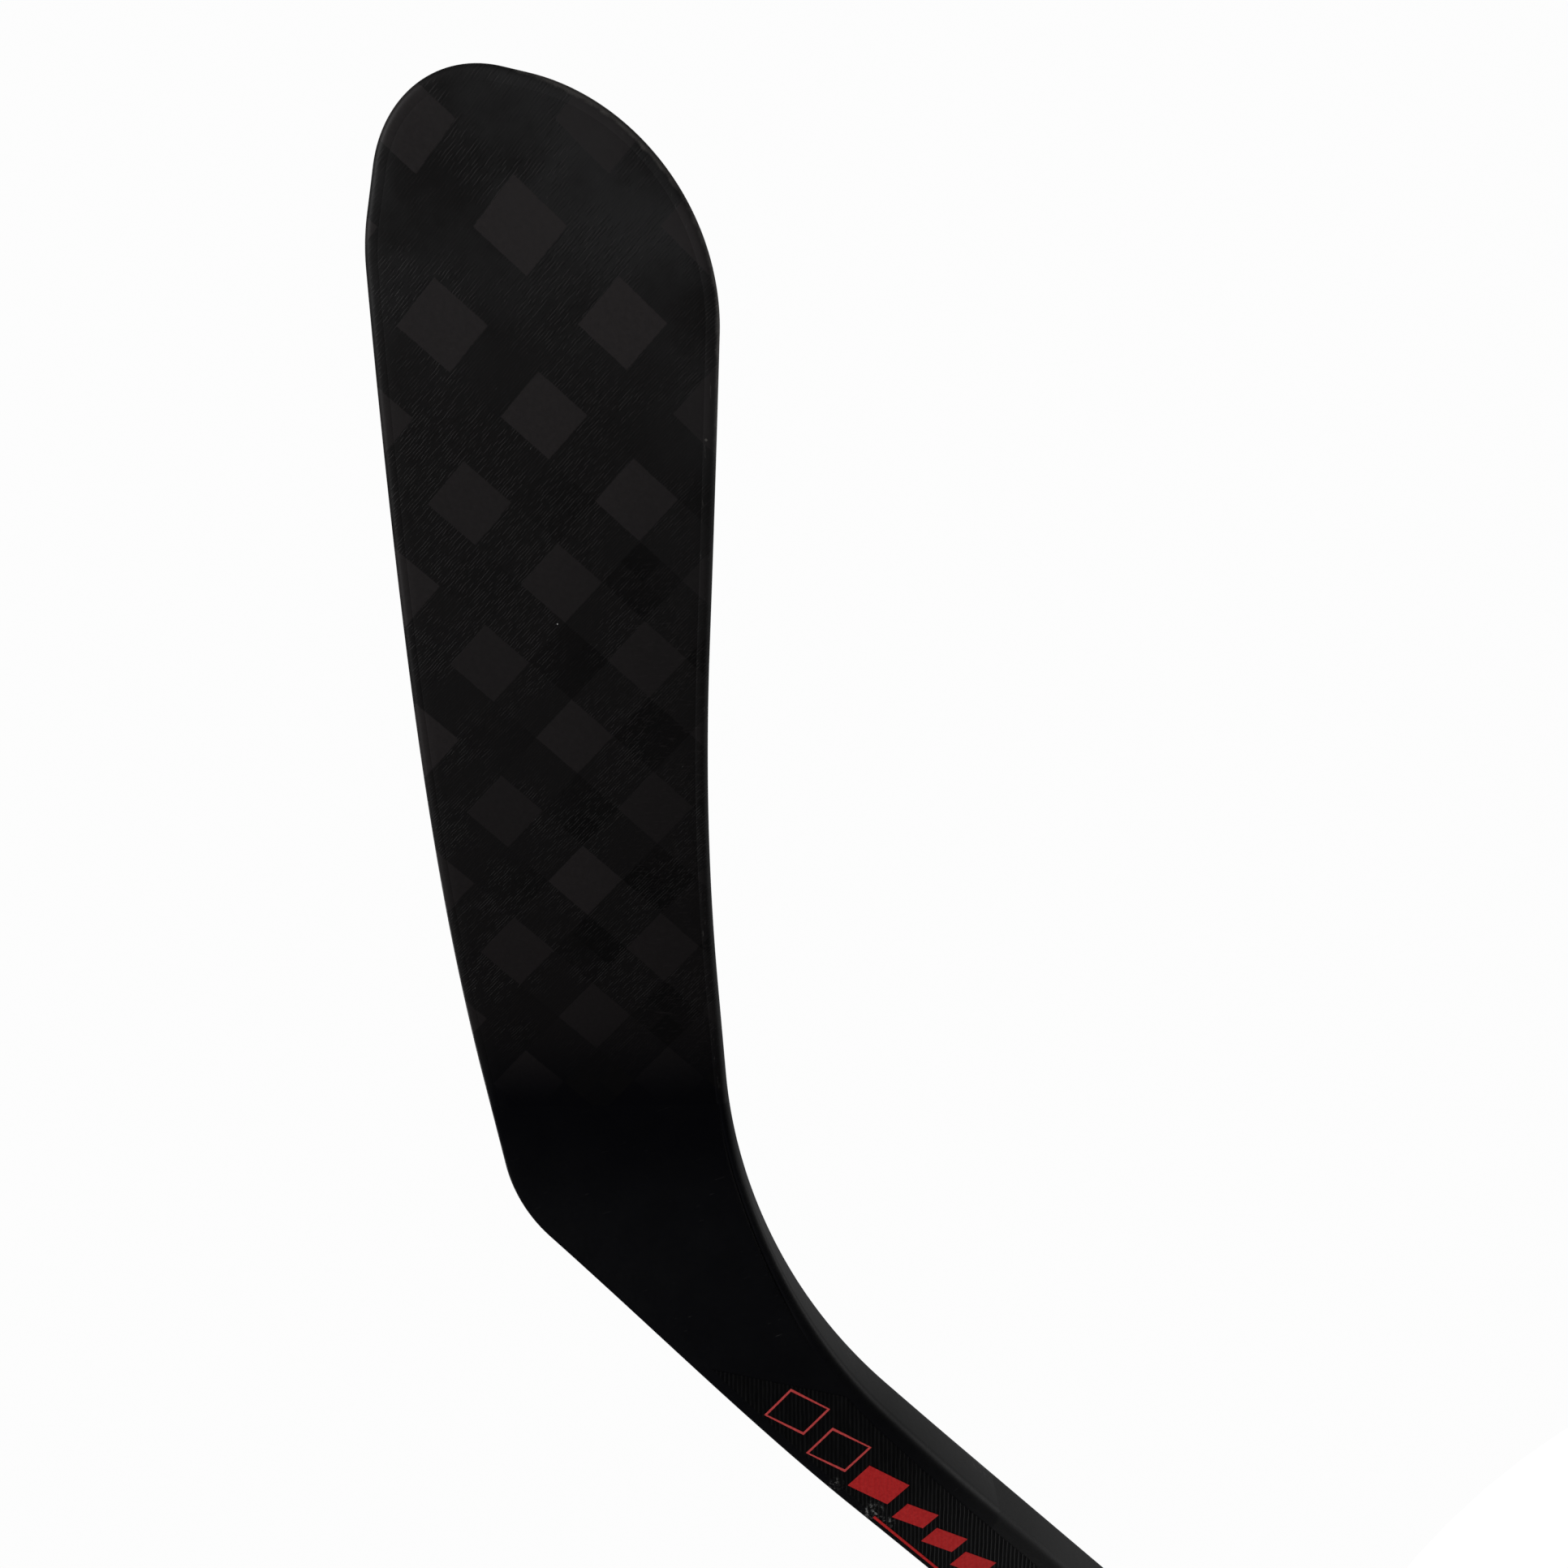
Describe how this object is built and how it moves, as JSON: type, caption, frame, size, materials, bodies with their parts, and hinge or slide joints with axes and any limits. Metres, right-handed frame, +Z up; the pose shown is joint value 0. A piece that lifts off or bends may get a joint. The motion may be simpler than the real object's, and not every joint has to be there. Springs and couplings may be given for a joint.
{
  "type": "ice hockey stick",
  "caption": "One-piece composite ice hockey stick for a right-handed player, with a hollow shaft, tapered hosel and curved carbon blade.",
  "frame": {"origin": "centre of the butt end's flat face", "axes": "+Z up the shaft from the butt to the heel, +X towards the blade's toe, -Y towards the forehand face"},
  "size_m": [0.2217, 0.047, 1.735],
  "materials": {
    "tow_ply": "satin clear coat over wide woven carbon tows",
    "blade_laminate": "satin carbon laminate",
    "edge_laminate": "worn satin carbon laminate",
    "rib_laminate": "raw carbon laminate",
    "foam": "closed-cell foam",
    "hosel_laminate": "smooth satin black coat",
    "shaft_laminate": "matte black grip coat",
    "film": "finely ribbed dark printed film",
    "outline_ink": "thin red print",
    "solid_ink": "solid red print",
    "plug": "moulded black rubber"
  },
  "bodies": {
    "root": {"blade_forehand_ply": "tow_ply", "blade_backhand_ply": "tow_ply", "blade_forehand_skin": "blade_laminate", "blade_backhand_skin": "blade_laminate", "blade_edge_band": "edge_laminate", "blade_rib": "rib_laminate", "blade_upper_core": "foam", "blade_lower_core": "foam", "heel_core": "foam", "hosel_shell": "hosel_laminate", "hosel_tenon": "rib_laminate", "shaft_tube": "shaft_laminate", "butt_plug": "plug", "forehand_film": "film", "backhand_film": "film", "forehand_decal_outlined": "outline_ink", "backhand_decal_outlined": "outline_ink", "forehand_decal_solid": "solid_ink", "backhand_decal_solid": "solid_ink", "pinstripe": "solid_ink"}
  },
  "joints": []
}
